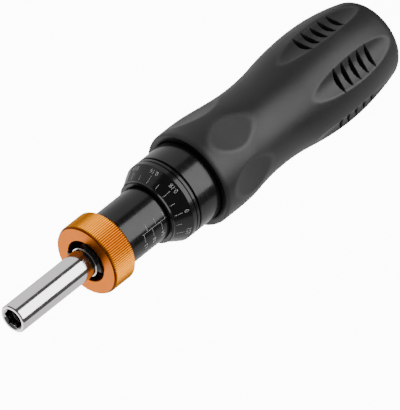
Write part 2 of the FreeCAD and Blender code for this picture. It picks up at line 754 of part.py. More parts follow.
def make_barrel_nose():
    """Nose screwed in the barrel. Two claws stand round the bit tube, with the lugs' slots between."""
    body = turned("BarrelNose", [
        ("bush_radius + seat_gap", NOSE_REAR),
        ("nose_plug_radius", NOSE_REAR),
        ("nose_plug_radius", BARREL_FRONT),
        ("barrel_radius", BARREL_FRONT),
        ("barrel_radius", f"{BARREL_FRONT} + nose_collar_length"),
        ("nose_thread_radius", f"{BARREL_FRONT} + nose_collar_length"),
        ("nose_thread_radius", NOSE_SHOULDER),
        ("claw_radius", NOSE_SHOULDER),
        ("claw_radius", NOSE_FACE),
        ("shaft_radius + claw_clearance", NOSE_FACE),
        ("shaft_radius + claw_clearance", f"{NOSE_REAR} + bush_length"),
        ("bush_radius + seat_gap", f"{NOSE_REAR} + bush_length"),
    ])
    tools = []
    for side, turn in enumerate((CLAW_ANGLE + 90, CLAW_ANGLE - 90)):
        tools.append(sector(f"ClawGap{side}", "tube_radius", "claw_radius + running_fit",
                            NOSE_SHOULDER, f"{NOSE_FACE} + running_fit", turn, "claw_gap_angle"))
        tools.append(sector(f"LugSlot{side}", "lock_tube_bore - running_fit",
                            "lock_tube_radius + running_fit", f"{NOSE_REAR} - running_fit",
                            f"{NOSE_SHOULDER} + running_fit", turn, "claw_gap_angle"))
    piece(cut("BarrelNoseSlotted", body, joined("NoseTools", tools)), "barrel_nose")
    piece(turned("FrontBush", [
        ("shaft_radius + running_fit", NOSE_REAR),
        ("bush_radius", NOSE_REAR),
        ("bush_radius", f"{NOSE_REAR} + bush_length"),
        ("shaft_radius + running_fit", f"{NOSE_REAR} + bush_length"),
    ]), "front_bush")
    piece(turned("ThrustWasher", [
        ("shaft_radius + running_fit", FLANGE_FRONT),
        ("washer_radius", FLANGE_FRONT),
        ("washer_radius", NOSE_REAR),
        ("shaft_radius + running_fit", NOSE_REAR),
    ]), "thrust_washer")


def make_lock_tube():
    """Thin steel sleeve. Its lugs meet the lock ring, and its taper wedges the barrel's slit tail."""
    tail = "barrel_tail_height + wedge_land"
    top = f"{NOSE_REAR} - lock_travel_room"
    low = f"{tail} + lock_travel_room"
    body = turned("LockTube", [
        ("lock_tube_bore", low),
        ("wedge_bore - sliding_fit", low),
        ("lock_tube_radius", f"{low} + wedge_length"),
        ("lock_tube_radius", top),
        ("lock_tube_bore", top),
    ])
    lugs = [
        sector(f"LockLug{side}", "lock_tube_bore", "lock_tube_radius", f"{top} - lock_travel_room",
               RING_STEP, turn, "claw_gap_angle - lug_gap_angle - lug_gap_angle")
        for side, turn in enumerate((CLAW_ANGLE + 90, CLAW_ANGLE - 90))
    ]
    whole = joined("LockTubeWhole", [body] + lugs)
    way = bar("KeyWay", "lock_tube_radius + running_fit", "plate_key_width / 2 + running_fit",
              f"{PLATE_REAR} - plate_gap", f"{top} - ({PLATE_REAR}) + plate_gap", PLATE_KEY_TURN)
    return piece(cut("LockTubeSlotted", whole, way), "lock_tube")


def make_lock_ring():
    """Orange anodised ring with a straight knurl, screwed on the nose."""
    count = int(value("knurl_count"))
    tip, root = value("lock_ring_radius"), value("lock_ring_radius - knurl_depth")
    low, high = value(RING_REAR), value(RING_FACE)
    points = [
        FreeCAD.Vector(radius * math.cos(angle), radius * math.sin(angle), low)
        for place in range(count)
        for radius, angle in ((tip, 2 * math.pi * place / count),
                              (root, 2 * math.pi * (place + 0.5) / count))
    ]
    knurled = doc.addObject("Part::Feature", "KnurledBar")
    outline = Part.makePolygon(points + points[:1])
    knurled.Shape = Part.Face(outline).extrude(FreeCAD.Vector(0, 0, high - low))
    corner = "lock_ring_radius - lock_ring_round"
    body = turned("LockRing", [
        ("barrel_radius + sliding_fit", RING_REAR),
        (corner, RING_REAR),
        ("lock_ring_radius", f"{RING_REAR} + lock_ring_round"),
        ("lock_ring_radius", f"{RING_FACE} - lock_ring_bevel_length"),
        ("lock_ring_face_radius", RING_FACE),
        ("lock_ring_opening", RING_FACE),
        ("lock_ring_opening", RING_STEP),
        ("nose_thread_radius + running_fit", RING_STEP),
        ("nose_thread_radius + running_fit", f"{RING_REAR} + lock_ring_skirt_length"),
        ("barrel_radius + sliding_fit", f"{RING_REAR} + lock_ring_skirt_length"),
    ])
    ring = doc.addObject("Part::MultiCommon", "LockRingKnurled")
    ring.Shapes = [body, knurled]
    return piece(ring, "lock_ring")


def make_bit_holder():
    """Chrome tube with a hexagon socket on a thicker shaft, with the clutch's flange and a rear journal."""
    socket_floor = f"{TIP} - hex_depth"
    clip_top = f"{TIP} - clip_groove_depth"
    clip_low = f"{clip_top} - clip_wire - clip_wire"
    journal_end = f"{FLANGE_REAR} - journal_length"
    clip_slot_low = f"{journal_end} + journal_groove_height"
    body = turned("BitHolder", [
        ("0", journal_end),
        ("journal_radius", journal_end),
        ("journal_radius", clip_slot_low),
        ("journal_groove_radius", clip_slot_low),
        ("journal_groove_radius", f"{clip_slot_low} + journal_clip_thickness"),
        ("journal_radius", f"{clip_slot_low} + journal_clip_thickness"),
        ("journal_radius", FLANGE_REAR),
        ("flange_radius", FLANGE_REAR),
        ("flange_radius", FLANGE_FRONT),
        ("shaft_radius", FLANGE_FRONT),
        ("shaft_radius", NOSE_FACE),
        ("tube_radius", NOSE_FACE),
        ("tube_radius", f"{TIP} - tube_bevel"),
        ("tube_radius - tube_bevel", TIP),
        ("magnet_radius + seat_gap", TIP),
        ("magnet_radius + seat_gap", f"{socket_floor} - magnet_length"),
        ("0", f"{socket_floor} - magnet_length"),
    ])
    socket = primitive("Part::Prism", "HexSocket", {
        "Circumradius": "hex_flats / sqrt(3)",
        "Height": "hex_depth + running_fit",
    }, socket_floor, turn=HEX_CORNER_ANGLE)
    socket.Polygon = 6
    lead_in = turned("SocketLeadIn", [
        ("0", f"{TIP} - countersink_radius"),
        ("countersink_radius", TIP),
        ("0", TIP),
    ])
    clip_slot = turned("ClipSlot", [
        ("magnet_radius", clip_low),
        ("clip_groove_radius", clip_low),
        ("clip_groove_radius", clip_top),
        ("magnet_radius", clip_top),
    ])
    turns = [360 * place / value("detent_count") for place in range(int(value("detent_count")))]
    detents = [
        primitive("Part::Sphere", f"Detent{place}", {"Radius": "clutch_ball_radius + running_fit"},
                  CLUTCH_BALL_HEIGHT, "clutch_pitch_radius", turn)
        for place, turn in enumerate(turns)
    ]
    tools = joined("BitHolderTools", [socket, lead_in, clip_slot] + detents)
    piece(cut("BitHolderMachined", body, tools), "bit_holder")
    clip_radius = "clip_groove_radius - seat_gap - clip_wire"
    clip = primitive("Part::Torus", "BitClip", {"Radius1": clip_radius, "Radius2": "clip_wire"},
                     f"{clip_top} - clip_wire")
    clip.Angle3 = 300
    piece(clip, "bit_clip")
    magnet = primitive("Part::Cylinder", "BitMagnet",
                       {"Radius": "magnet_radius", "Height": "magnet_length"},
                       f"{socket_floor} - magnet_length")
    piece(magnet, "bit_magnet")
    piece(turned("JournalClip", [
        ("journal_groove_radius + seat_gap", clip_slot_low),
        ("journal_clip_radius", clip_slot_low),
        ("journal_clip_radius", f"{clip_slot_low} + journal_clip_thickness"),
        ("journal_groove_radius + seat_gap", f"{clip_slot_low} + journal_clip_thickness"),
    ]), "journal_clip")


def make_clutch():
    """Balls between the flange's detents and a plate that is keyed to the lock tube."""
    disc = turned("ClutchDisc", [
        ("0", PLATE_REAR),
        ("plate_radius", PLATE_REAR),
        ("plate_radius", PLATE_FRONT),
        ("0", PLATE_FRONT),
    ])
    keys = bar("ClutchKeys", "plate_key_radius", "plate_key_width / 2", PLATE_REAR,
               "plate_thickness", PLATE_KEY_TURN)
    bore = primitive("Part::Cylinder", "ClutchBore",
                     {"Radius": "journal_radius + running_fit", "Height": "plate_thickness"}, PLATE_REAR)
    count = int(value("clutch_ball_count"))
    balls, pockets = (
        [primitive("Part::Sphere", f"{name}{place}", {"Radius": radius}, CLUTCH_BALL_HEIGHT,
                   "clutch_pitch_radius", 360 * place / count) for place in range(count)]
        for name, radius in (("ClutchBall", "clutch_ball_radius"),
                             ("PlatePocket", "clutch_ball_radius + seat_gap"))
    )
    plate = joined("ClutchPlateWhole", [disc, keys])
    piece(cut("ClutchPlate", plate, joined("PlateTools", [bore] + pockets)), "clutch_plate")
    piece(group("ClutchBalls", balls), "clutch_balls")


def write_pieces():
    """Check every object and every sub-part, then write one STEP file for each sub-part."""
    doc.recompute()
    for item in doc.Objects:
        if "Invalid" in item.State or "Error" in item.State:
            raise RuntimeError(f"{item.Name} failed: {item.State}")
    os.makedirs("parts", exist_ok=True)
    for item in pieces:
        if item.Shape.isNull() or not item.Shape.isValid():
            raise RuntimeError(f"{item.Label} has no valid shape")
    for item in pieces:
        item.Shape.exportStep(os.path.join("parts", f"{item.Label}.step"))


make_handle_grip()
make_handle_core()
make_core_plug()
make_graduated_dial()
make_setting_nut()
make_thrust_bearing()
make_spring_guide()
make_main_spring()
make_barrel_tube()
make_barrel_nose()
make_lock_tube()
make_lock_ring()
make_bit_holder()
make_clutch()
write_pieces()
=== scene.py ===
import math

import bmesh
import bpy
import numpy as np
from mathutils import Matrix, Vector


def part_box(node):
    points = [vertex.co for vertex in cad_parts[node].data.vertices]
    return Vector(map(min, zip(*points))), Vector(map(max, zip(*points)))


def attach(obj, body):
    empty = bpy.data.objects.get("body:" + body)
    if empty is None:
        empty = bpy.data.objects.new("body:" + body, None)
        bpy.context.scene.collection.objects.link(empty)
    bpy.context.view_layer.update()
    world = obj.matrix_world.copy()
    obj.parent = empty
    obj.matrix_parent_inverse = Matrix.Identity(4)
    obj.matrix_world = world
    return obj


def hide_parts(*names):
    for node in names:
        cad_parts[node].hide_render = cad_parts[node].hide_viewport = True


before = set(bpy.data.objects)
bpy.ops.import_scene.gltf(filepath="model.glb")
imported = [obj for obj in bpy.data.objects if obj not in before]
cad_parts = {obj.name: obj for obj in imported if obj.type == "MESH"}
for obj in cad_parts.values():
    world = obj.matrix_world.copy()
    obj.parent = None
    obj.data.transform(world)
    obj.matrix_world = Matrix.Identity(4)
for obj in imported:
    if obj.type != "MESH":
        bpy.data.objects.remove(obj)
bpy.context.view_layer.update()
MM = 0.001

# Oiled steel that stays inside the tool: the thrust bearing, the clutch, the shaft's clips, the
# dowels and the main spring. They are ground or drawn, and only their shade and grain differ.


class Signal:
    """The output of a material's node. Sums and products of signals add Math nodes."""

    def __init__(self, finish, socket):
        self.finish = finish
        self.socket = socket

    def combine(self, operation, first, second):
        return self.finish.node("ShaderNodeMath", {"operation": operation}, {0: first, 1: second})

    def __add__(self, other):
        return self.combine("ADD", self, other)

    def __radd__(self, other):
        return self.combine("ADD", other, self)

    def __sub__(self, other):
        return self.combine("SUBTRACT", self, other)

    def __rsub__(self, other):
        return self.combine("SUBTRACT", other, self)

    def __mul__(self, other):
        return self.combine("MULTIPLY", self, other)

    def __rmul__(self, other):
        return self.combine("MULTIPLY", other, self)


class Finish:
    """One material, built node by node on a Principled shader."""

    def __init__(self, name, **sockets):
        self.material = bpy.data.materials.new(name)
        self.material.use_nodes = True
        self.tree = self.material.node_tree
        self.shader = self.tree.nodes["Principled BSDF"]
        self.set(**sockets)

    def set(self, **sockets):
        """Set or link the shader's sockets, with an underscore for each space in a name."""
        for name, entry in sockets.items():
            self.feed(self.shader.inputs[name.replace("_", " ")], entry)
        return self

    def feed(self, socket, entry):
        if isinstance(entry, Signal):
            self.tree.links.new(entry.socket, socket)
        else:
            socket.default_value = entry

    def node(self, kind, settings, sockets, output=0):
        """Any node: its settings are set first, then its sockets are set or linked."""
        node = self.tree.nodes.new(kind)
        for name, setting in settings.items():
            setattr(node, name, setting)
        for key, entry in sockets.items():
            self.feed(node.inputs[key], entry)
        return Signal(self, node.outputs[output])

    def place(self, stretch=(1, 1, 1)):
        """Object coordinates, stretched along each axis."""
        spot = self.node("ShaderNodeTexCoord", {}, {}, "Object")
        return self.node("ShaderNodeMapping", {}, {"Vector": spot, "Scale": stretch})

    def grain(self, scale, stretch=(1, 1, 1), detail=3, rough=0.55):
        """Noise from 0 to 1 over the piece, with a grain of so many per metre."""
        sockets = {"Vector": self.place(stretch), "Scale": scale, "Detail": detail, "Roughness": rough}
        return self.node("ShaderNodeTexNoise", {}, sockets, "Fac")

    def spread(self, signal, low, high, to_low, to_high):
        """A signal's stretch from low to high, laid out over another stretch."""
        sockets = {"Value": signal, "From Min": low, "From Max": high, "To Min": to_low, "To Max": to_high}
        return self.node("ShaderNodeMapRange", {"interpolation_type": "SMOOTHSTEP"}, sockets, "Result")

    def shade(self, signal, dark, light):
        """A colour between two others."""
        sockets = {"Factor": signal, 6: (*dark, 1), 7: (*light, 1)}
        return self.node("ShaderNodeMix", {"data_type": "RGBA"}, sockets, 2)

    def bump(self, signal, height, strength=1.0):
        """A relief of so many metres for the Normal socket."""
        sockets = {"Height": signal, "Distance": height, "Strength": strength}
        return self.node("ShaderNodeBump", {}, sockets)


def ground_steel(name, dark, light, roughness):
    """Steel with fine rings from the lathe and a trace of oil."""
    finish = Finish(name, Metallic=1.0)
    rings = finish.grain(3000, (0.02, 0.02, 1))
    clouds = finish.grain(300)
    finish.set(Base_Color=finish.shade(clouds, dark, light))
    finish.set(Roughness=finish.spread(rings, 0.3, 0.7, roughness - 0.05, roughness + 0.07))
    finish.set(Normal=finish.bump(rings + clouds * 0.3, 0.000004))
    return finish.material


bearing_steel = ground_steel("bearing_steel", (0.50, 0.50, 0.51), (0.66, 0.66, 0.67), 0.2)
spring_wire = ground_steel("spring_wire", (0.24, 0.24, 0.26), (0.42, 0.42, 0.44), 0.34)
for node in ("bearing_lower_race", "bearing_upper_race", "bearing_balls", "spring_guide",
             "clutch_plate", "clutch_balls", "nut_pins", "lock_tube"):
    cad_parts[node].data.materials[0] = bearing_steel
for node in ("main_spring", "travel_stop", "journal_clip", "bit_clip"):
    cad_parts[node].data.materials[0] = spring_wire

# Brass and bronze pieces that other pieces turn in: the setting nut, the bearing's cage, the bush in
# the nose and the thrust washer. They are turned from bar, with a warm, slightly dulled skin.
brass = Finish("turned_brass", Metallic=1.0)
brass_rings = brass.grain(2600, (0.02, 0.02, 1))
brass_clouds = brass.grain(240)
brass.set(Base_Color=brass.shade(brass_clouds, (0.44, 0.29, 0.10), (0.66, 0.47, 0.20)))
brass.set(Roughness=brass.spread(brass_rings, 0.3, 0.7, 0.24, 0.4))
brass.set(Normal=brass.bump(brass_rings, 0.000004))
for node in ("setting_nut", "bearing_cage", "front_bush", "thrust_washer"):
    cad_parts[node].data.materials[0] = brass.material

# The core's plug is bare turned aluminium, the seal is black rubber, the grub screws are blackened
# steel, and the magnet at the bottom of the socket is nickel plated.
aluminium = Finish("bare_aluminium", Metallic=1.0)
turning_lines = aluminium.grain(2200, (0.02, 0.02, 1))
aluminium.set(Base_Color=aluminium.shade(turning_lines, (0.62, 0.62, 0.64), (0.78, 0.78, 0.79)))
aluminium.set(Roughness=aluminium.spread(turning_lines, 0.3, 0.7, 0.26, 0.42))
aluminium.set(Normal=aluminium.bump(turning_lines, 0.000005))
rubber = Finish("seal_rubber")
rubber_bloom = rubber.grain(900)
rubber.set(Base_Color=rubber.shade(rubber_bloom, (0.008, 0.008, 0.008), (0.022, 0.022, 0.021)))
rubber.set(Roughness=rubber.spread(rubber_bloom, 0.3, 0.7, 0.6, 0.8))
black_oxide = Finish("black_oxide", Metallic=1.0)
oxide_clouds = black_oxide.grain(1500)
black_oxide.set(Base_Color=black_oxide.shade(oxide_clouds, (0.02, 0.02, 0.022), (0.05, 0.05, 0.052)))
black_oxide.set(Roughness=black_oxide.spread(oxide_clouds, 0.3, 0.7, 0.35, 0.5))
nickel = Finish("nickel_plate", Metallic=1.0)
nickel_clouds = nickel.grain(800)
nickel.set(Base_Color=nickel.shade(nickel_clouds, (0.5, 0.48, 0.44), (0.66, 0.64, 0.6)))
nickel.set(Roughness=nickel.spread(nickel_clouds, 0.3, 0.7, 0.18, 0.3))
for node, finish in (("core_plug", aluminium), ("dial_seal", rubber), ("dial_screws", black_oxide),
                     ("bit_magnet", nickel)):
    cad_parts[node].data.materials[0] = finish.material

# Core of the handle, turned from aluminium and black anodised. Its sleeve shows in front of the
# grip, its spigot carries the dial, and dowels and grub screws sit in holes drilled through it.


def rounded(corners, closed=True):
    """An outline of corners (radius, height, rounding) with each rounded corner as an arc."""
    points = []
    for place, (across, along, rounding) in enumerate(corners):
        here = Vector((across, along))
        before = Vector(corners[place - 1][:2])
        after = Vector(corners[(place + 1) % len(corners)][:2])
        end = not closed and place in (0, len(corners) - 1)
        if rounding == 0 or end:
            points.append(here)
            continue
        back, ahead = (before - here).normalized(), (after - here).normalized()
        half = back.angle(ahead) / 2
        reach = rounding / math.tan(half)
        centre = here + (back + ahead).normalized() * (rounding / math.sin(half))
        first, last = here + back * reach, here + ahead * reach
        points.append(first + back * reach * 0.35)
        for step in range(5):
            spoke = (first - centre).normalized().slerp((last - centre).normalized(), step / 4)
            points.append(centre + spoke * rounding)
        points.append(last + ahead * reach * 0.35)
    return points


def mesh_of(name, vertices, faces, finish):
    """A mesh object at the origin, its faces outward, smooth but for its real edges."""
    mesh = bpy.data.meshes.new(name)
    mesh.from_pydata(vertices, [], faces)
    tidy = bmesh.new()
    tidy.from_mesh(mesh)
    bmesh.ops.remove_doubles(tidy, verts=tidy.verts, dist=1e-7)
    bmesh.ops.recalc_face_normals(tidy, faces=tidy.faces)
    tidy.to_mesh(mesh)
    tidy.free()
    mesh.materials.append(finish)
    mesh.shade_smooth()
    mesh.set_sharp_from_angle(angle=math.radians(32))
    piece = bpy.data.objects.new(name, mesh)
    bpy.context.scene.collection.objects.link(piece)
    return piece


def lathe(name, corners, finish, steps=240):
    """A turned piece, in metres, from an outline of corners (radius, height, rounding)."""
    outline = rounded(corners)
    vertices, faces = [], []
    for across, along in outline:
        for step in range(steps):
            turn = 2 * math.pi * step / steps
            vertices.append((across * math.cos(turn), across * math.sin(turn), along))
    rows = len(outline)
    for row in range(rows):
        low, high = row * steps, (row + 1) % rows * steps
        for step in range(steps):
            beside = (step + 1) % steps
            faces.append((low + step, low + beside, high + beside, high + step))
    return mesh_of(name, vertices, faces, finish)


def rod(radius, start, end, angle, height, steps=48):
    """A plain rod that points outward from the axis, to drill a hole with."""
    raised = Matrix.Rotation(angle, 4, "Z") @ Matrix.Translation((0, 0, height))
    turn = raised @ Matrix.Rotation(math.pi / 2, 4, "Y")
    tool = bmesh.new()
    middle = Matrix.Translation((0, 0, (start + end) / 2))
    bmesh.ops.create_cone(tool, cap_ends=True, segments=steps, radius1=radius, radius2=radius,
                          depth=end - start, matrix=turn @ middle)
    return tool


def carve(piece, tools, operation="DIFFERENCE"):
    """Cut a piece with each tool in turn, and keep its edges sharp."""
    for tool in tools:
        mesh = bpy.data.meshes.new("tool")
        tool.to_mesh(mesh)
        tool.free()
        cutter = bpy.data.objects.new("tool", mesh)
        bpy.context.scene.collection.objects.link(cutter)
        cut = piece.modifiers.new("cut", "BOOLEAN")
        cut.object, cut.operation, cut.solver = cutter, operation, "EXACT"
        shape = evaluated(piece)
        piece.modifiers.remove(cut)
        piece.data = shape
        bpy.data.objects.remove(cutter)
    piece.data.set_sharp_from_angle(angle=math.radians(32))


def evaluated(piece):
    """The mesh that a piece's modifiers make."""
    view = bpy.context.evaluated_depsgraph_get()
    return bpy.data.meshes.new_from_object(piece.evaluated_get(view), depsgraph=view)


def place_on(piece, body, slot, *nodes):
    """Fix a finished piece to its body, in the place of the CAD nodes that it stands for."""
    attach(piece, body)
    if nodes:
        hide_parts(*nodes)


anodised = Finish("black_anodised", Metallic=0.55, Coat_Weight=0.12, Coat_Roughness=0.08)
anodised_lines = anodised.grain(2400, (0.015, 0.015, 1), detail=4)
anodised_clouds = anodised.grain(260)
anodised.set(Base_Color=anodised.shade(anodised_clouds, (0.010, 0.010, 0.011), (0.020, 0.020, 0.021)))
anodised.set(Roughness=anodised.spread(anodised_lines, 0.3, 0.7, 0.16, 0.27))
anodised.set(Normal=anodised.bump(anodised_lines, 0.000003))

core_low, core_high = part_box("handle_core")
core_foot, core_top, sleeve_radius = core_low.z, core_high.z, core_high.x
grip_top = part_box("handle_grip")[1].z
dial_foot, dial_top = (corner.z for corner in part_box("graduated_dial"))
nut_foot, nut_top = (corner.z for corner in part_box("setting_nut"))
core_radius = 12.5 * MM
core_bore = 11.2 * MM
guide_bore = 10.3 * MM
spigot_radius = 12 * MM
sleeve_seat = 10 * MM
sleeve = lathe("handle_core_turned", [
    (core_bore, core_foot, 0),
    (core_radius, core_foot, 0.2 * MM),
    (core_radius, grip_top - sleeve_seat, 0),
    (sleeve_radius, grip_top - sleeve_seat, 0.2 * MM),
    (sleeve_radius, dial_foot, 0.3 * MM),
    (spigot_radius, dial_foot, 0),
    (spigot_radius, core_top, 0.2 * MM),
    (guide_bore, core_top, 0),
    (guide_bore, nut_top, 0),
    (core_bore, nut_top, 0),
], anodised.material)
dowel_height = (nut_foot + nut_top) / 2
screw_low, screw_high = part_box("dial_screws")
screw_height = (screw_low.z + screw_high.z) / 2
pin_hole = 1.02 * MM
screw_angles = (120, 210)
drills = [rod(pin_hole, core_bore - MM, core_radius + MM, math.radians(turn), dowel_height)
          for turn in (0, 180)]
drills += [rod(pin_hole, spigot_radius - 0.5 * MM, spigot_radius + 2 * MM, math.radians(turn), screw_height)
           for turn in screw_angles]
carve(sleeve, drills)
place_on(sleeve, "handle", "black_anodised", "handle_core")

# Soft grip, moulded over the core in a satin elastomer. Six dents ring its front end, and six
# ribbed recesses with five lens-shaped slots each ring its rear end for the fingers.
waist_radius, waist_height = 15.05, 56.5
belly_radius, belly_height = 17.56, 26.4
mouth_radius, mouth_height = 17.1, 89.8
shoulder_height = 79.5
front_hollow, rear_hollow, belly_curve = 84, 78, 80
dent_floor_radius, dent_height, dent_curve = 15.48, 69.5, 78
recess_floor_radius, recess_lean, recess_cutter, recess_top = 14.58, 1.89, 8.8, 48.4
slot_start, slot_pitch, slot_half_width, slot_depth = 15.8, 3.9, 1.05, 1.5
slot_centre, lens_radius, lens_offset = 17.2, 9.33, 8.28
missed = 99


def arc_side(height):
    """The grip's radius at a height between its rounded end and its rounded mouth, in millimetres."""
    if height > shoulder_height:
        return mouth_radius
    if height > waist_height:
        return side_between(height, waist_radius, waist_height, front_hollow, mouth_radius, shoulder_height)
    if height > belly_height:
        return side_between(height, waist_radius, waist_height, rear_hollow, belly_radius, belly_height)
    return belly_radius - belly_curve + math.sqrt(belly_curve ** 2 - (belly_height - height) ** 2)


def side_between(height, low_radius, low_height, hollow, high_radius, high_height):
    """A hollow arc out of the waist that runs smoothly into a full arc at the other height."""
    drop = high_radius - low_radius
    reach = abs(high_height - low_height)
    span = (reach ** 2 + drop ** 2) / (2 * drop)
    away = abs(height - low_height)
    if away < reach * hollow / span:
        return low_radius + hollow - math.sqrt(hollow ** 2 - away ** 2)
    full = span - hollow
    return high_radius - full + math.sqrt(full ** 2 - (reach - away) ** 2)


def grip_outline():
    """Places (radius, height) from the end's flat, up the side and over the rounded mouth."""
    end_round, mouth_round, mouth_bulge = 6, 3.8, 1.9
    tail_x = belly_radius - belly_curve
    end_x = tail_x + math.sqrt((belly_curve - end_round) ** 2 - (belly_height - end_round) ** 2)
    tangent = math.atan2(end_round - belly_height, end_x - tail_x)
    places = [(end_x * share, 0) for share in (0.02, 0.35, 0.7, 0.92)]
    for step in range(25):
        angle = -math.pi / 2 + (tangent + math.pi / 2) * step / 24
        places.append((end_x + end_round * math.cos(angle), end_round + end_round * math.sin(angle)))
    height = places[-1][1] + 0.3
    bullnose = mouth_height - mouth_bulge
    while height < bullnose - 0.15:
        places.append((arc_side(height), height))
        height += 0.2 if 13 < height < 35 else 0.36
    lean = math.asin(mouth_bulge / mouth_round)
    for step in range(9):
        angle = lean * step / 8
        places.append((mouth_radius - mouth_round + mouth_round * math.cos(angle),
                       bullnose + mouth_round * math.sin(angle)))
    return places


def soft_least(first, second, blend):
    """The lesser of two radii, with the crease between them rounded."""
    share = np.clip(0.5 + 0.5 * (second - first) / blend, 0, 1)
    return second + (first - second) * share - blend * share * (1 - share)


def hollow_radius(turn, centre, reach):
    """Where a ray from the axis meets a round cutter whose own axis lies beyond the surface."""
    across = centre * np.sin(turn)
    within = reach ** 2 - across ** 2
    near = centre * np.cos(turn) - np.sqrt(np.maximum(within, 0))
    return np.where(within > 0, near, missed)


columns = 306
turns = 2 * np.pi * np.arange(columns) / columns
sixth = math.pi / 3
from_dent = (turns + sixth / 2) % sixth - sixth / 2
from_recess = turns % sixth - sixth / 2
skin, crease, depth = [], [], []
for across, along in grip_outline():
    body = np.full(columns, across)
    dent_floor = dent_floor_radius + dent_curve - math.sqrt(dent_curve ** 2 - (along - dent_height) ** 2)
    dent = np.where(np.abs(from_dent) < 0.8, dent_floor / np.cos(from_dent), missed)
    recess = np.full(columns, float(missed))
    if along < recess_top:
        recess_centre = recess_floor_radius + recess_cutter + recess_lean * along / recess_top
        recess = hollow_radius(from_recess, recess_centre, recess_cutter)
    carved = soft_least(soft_least(body, dent, 0.28), recess, 0.3)
    edge = np.exp(-((body - np.minimum(dent, recess)) / 0.22) ** 2)
    shell = carved
    for slot in range(5):
        off = abs(along - slot_start - slot_pitch * slot)
        if off < slot_half_width:
            lens = math.sqrt(lens_radius ** 2 - (lens_offset + off) ** 2)
            carved = soft_least(carved, hollow_radius(from_recess, slot_centre, lens), 0.12)
    skin.append(np.column_stack([carved * np.cos(turns), carved * np.sin(turns), np.full(columns, along)]))
    crease.append(edge)
    depth.append(np.clip((shell - carved) / slot_depth, 0, 1))
wall = [(14.9, mouth_height - 0.02), (14.82, mouth_height), (14.42, 89.4), (14.42, 79.8), (12.52, 79.8),
        (12.52, 28), (0.2, 28)]
skin[-1][:, 2] = mouth_height
for across, along in wall[1:]:
    skin.append(np.column_stack([across * np.cos(turns), across * np.sin(turns), np.full(columns, along)]))
    crease.append(np.zeros(columns))
    depth.append(np.zeros(columns))
vertices = np.vstack(skin) * MM
rows = len(skin)
faces = [
    (row * columns + step, row * columns + (step + 1) % columns,
     (row + 1) * columns + (step + 1) % columns, (row + 1) * columns + step)
    for row in range(rows - 1) for step in range(columns)
]
faces += [tuple(range(columns))[::-1], tuple(range((rows - 1) * columns, rows * columns))]
grip = bpy.data.meshes.new("handle_grip_moulded")
grip.from_pydata(vertices.tolist(), [], faces)
for name, amounts in (("crease", crease), ("depth", depth)):
    layer = grip.attributes.new(name, "FLOAT", "POINT")
    layer.data.foreach_set("value", np.concatenate(amounts).astype(np.float32))
elastomer = Finish("soft_grip", Specular_IOR_Level=0.36)
fine_grain = elastomer.grain(5200, detail=2)
clouds = elastomer.grain(120)
crease_mark = elastomer.node("ShaderNodeAttribute", {"attribute_name": "crease"}, {}, "Fac")
slot_painted_shade = elastomer.node("ShaderNodeAttribute", {"attribute_name": "depth"}, {}, "Fac")
skin_colour = elastomer.shade(clouds, (0.010, 0.010, 0.0108), (0.016, 0.016, 0.017))
# Lighter along the creases of the dents and recesses: partly rubbed wear, partly a painted edge highlight.
rubbed_and_highlit = elastomer.node("ShaderNodeMix", {"data_type": "RGBA"},
                        {"Factor": crease_mark * 0.5, 6: skin_colour, 7: (0.04, 0.04, 0.042, 1)}, 2)
# Darker with the depth of the lens-shaped slots: painted shade in the hollows.
elastomer.set(Base_Color=elastomer.node("ShaderNodeMix", {"data_type": "RGBA"},
              {"Factor": slot_painted_shade * 0.8, 6: rubbed_and_highlit, 7: (0.006, 0.006, 0.006, 1)}, 2))
skin_grain = fine_grain * 0.5 + clouds * 0.5
elastomer.set(Roughness=elastomer.spread(skin_grain, 0.3, 0.7, 0.38, 0.47) - crease_mark * 0.05)
elastomer.set(Normal=elastomer.bump(fine_grain, 0.000012))
grip.materials.append(elastomer.material)
grip.shade_smooth()
grip.set_sharp_from_angle(angle=math.radians(50))
grip_piece = bpy.data.objects.new("handle_grip_moulded", grip)
bpy.context.scene.collection.objects.link(grip_piece)
place_on(grip_piece, "handle", "soft_grip", "handle_grip")

# Graduated dial, a bevelled ring of black anodised aluminium held on the spigot by two grub screws.
# Twenty divisions and their plain numbers are engraved in its cone and filled with white.
rim_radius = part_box("graduated_dial")[1].x
cone_radius, cone_top = 11.43 * MM, dial_top - 1.0 * MM
cone_foot = cone_top - 5.6 * MM
groove_top = dial_foot + 2.0 * MM
seal_low, seal_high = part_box("dial_seal")
seal_radius = seal_high.x + 0.02 * MM
barrel_hole = 9.93 * MM
dial = lathe("graduated_dial_engraved", [
    (spigot_radius + 0.02 * MM, dial_foot, 0),
    (13.8 * MM, dial_foot, 0.1 * MM),
    (13.8 * MM, dial_foot + 0.6 * MM, 0),
    (rim_radius, dial_foot + 0.6 * MM, 0.12 * MM),
    (rim_radius, groove_top - 0.35 * MM, 0.06 * MM),
    (rim_radius - 0.3 * MM, groove_top - 0.35 * MM, 0),
    (rim_radius - 0.3 * MM, groove_top, 0),
    (rim_radius, groove_top, 0.06 * MM),
    (rim_radius, cone_foot, 0.15 * MM),
    (cone_radius, cone_top, 0.1 * MM),
    (cone_radius, dial_top - 0.43 * MM, 0),
    (11.0 * MM, dial_top, 0.1 * MM),
    (barrel_hole, dial_top, 0.1 * MM),
    (barrel_hole, seal_high.z + 0.02 * MM, 0),
    (seal_radius, seal_high.z + 0.02 * MM, 0),
    (seal_radius, seal_low.z - 0.02 * MM, 0),
    (barrel_hole, seal_low.z - 0.02 * MM, 0),
    (barrel_hole, core_top + 0.02 * MM, 0),
    (spigot_radius + 0.02 * MM, core_top + 0.02 * MM, 0),
], anodised.material)
carve(dial, [rod(pin_hole, spigot_radius - 0.3 * MM, rim_radius + 2 * MM, math.radians(turn), screw_height)
             for turn in screw_angles])
place_on(dial, "handle", "black_anodised", "graduated_dial")

